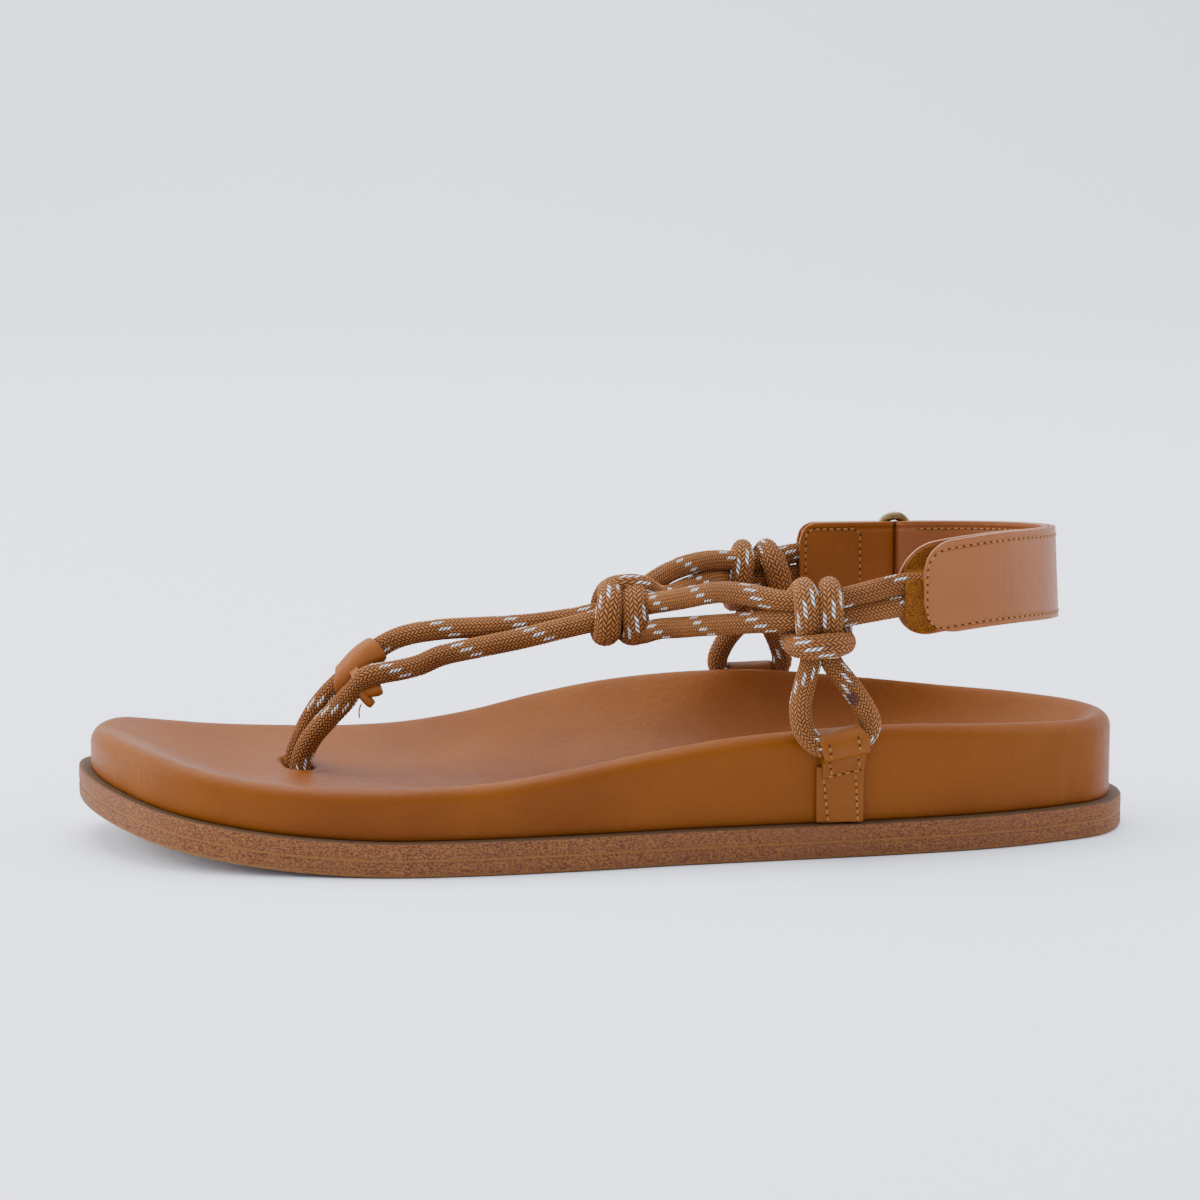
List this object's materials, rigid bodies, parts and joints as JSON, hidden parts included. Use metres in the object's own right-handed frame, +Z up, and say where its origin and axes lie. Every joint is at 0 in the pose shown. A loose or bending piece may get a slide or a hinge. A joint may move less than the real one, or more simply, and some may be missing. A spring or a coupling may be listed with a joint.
{
  "type": "rope sandal",
  "caption": "Left rope sandal: moulded leather footbed on a stacked outsole, knotted braided rope harness with toe post and side loops, leather heel strap through a ring.",
  "frame": {"origin": "bottom centre of the sandal's box, on the floor under the middle of the sole", "axes": "+X towards the heel, +Y towards the inner side of the foot, +Z up"},
  "size_m": [0.258, 0.094, 0.0766],
  "materials": {
    "outsole_stack": "speckled brown moulded rubber in two layers with a pale line between them, matt",
    "footbed_leather": "smooth cognac leather with fine grain, satin",
    "strap_leather": "smooth tan leather with stitched edges, satin",
    "braided_rope": "braided brown cord with short white flecks, matt",
    "antique_brass": "round wire, aged brass, softly polished"
  },
  "bodies": {
    "root": {"outsole": "outsole_stack", "footbed": "footbed_leather", "rope_harness": "braided_rope", "outer_loop": "braided_rope", "inner_loop": "braided_rope", "outer_tab": "footbed_leather", "inner_tab": "footbed_leather", "toe_keeper": "strap_leather", "heel_strap": "strap_leather", "ring_tab": "strap_leather", "ring": "antique_brass"}
  },
  "joints": []
}
